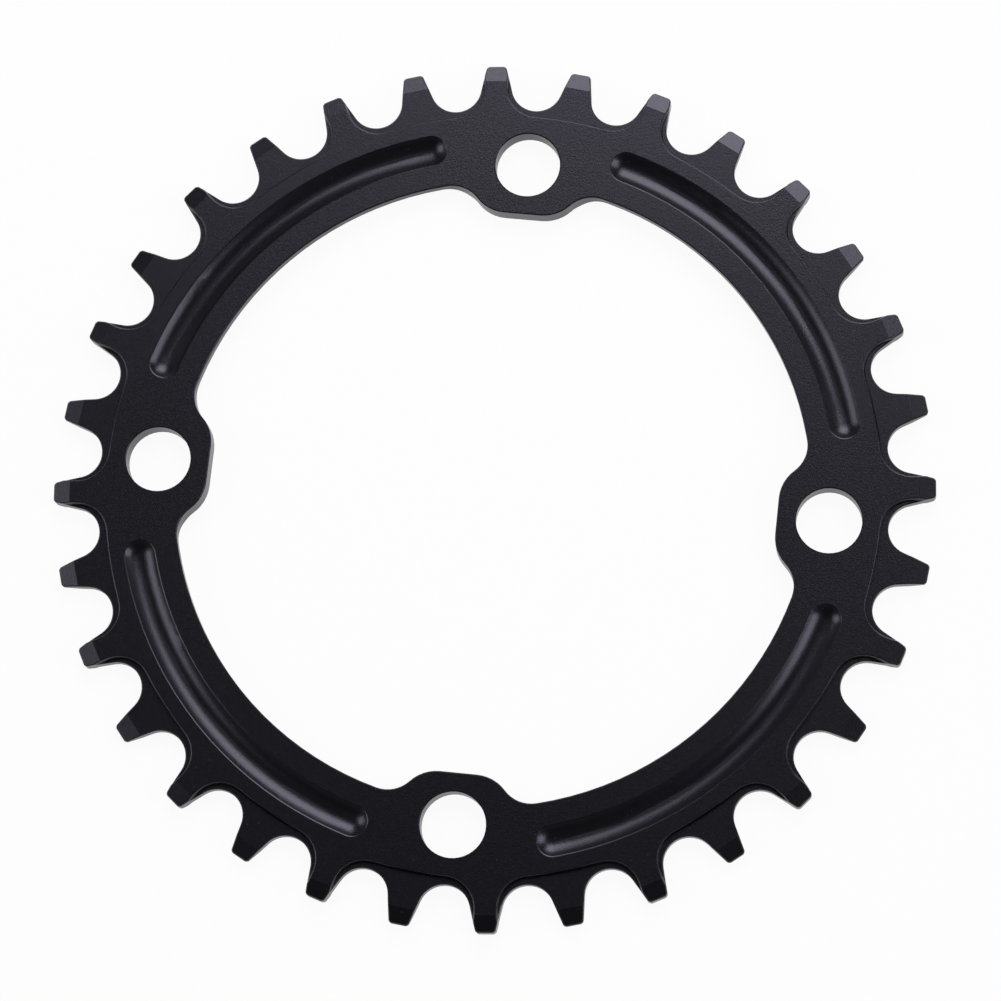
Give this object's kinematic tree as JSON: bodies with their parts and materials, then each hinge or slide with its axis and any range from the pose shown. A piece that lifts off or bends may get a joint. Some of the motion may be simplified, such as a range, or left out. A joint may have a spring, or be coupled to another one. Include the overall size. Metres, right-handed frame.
{
  "type": "bicycle chainring",
  "caption": "Flat black toothed ring with thick and thin teeth by turns, bolt tabs reaching inwards and arc grooves in its face; bolts to a crank and drives a bicycle chain.",
  "frame": {"origin": "centre of the ring, on its back face", "axes": "+Z out of the grooved front face, along the axis that the ring turns about; +X through the centre of one bolt hole and +Y through the next"},
  "size_m": [0.1356, 0.1356, 0.0035],
  "materials": {
    "black_anodised": "bead blasted and satin black anodised"
  },
  "bodies": {
    "root": {"chainring": "black_anodised"}
  },
  "joints": []
}
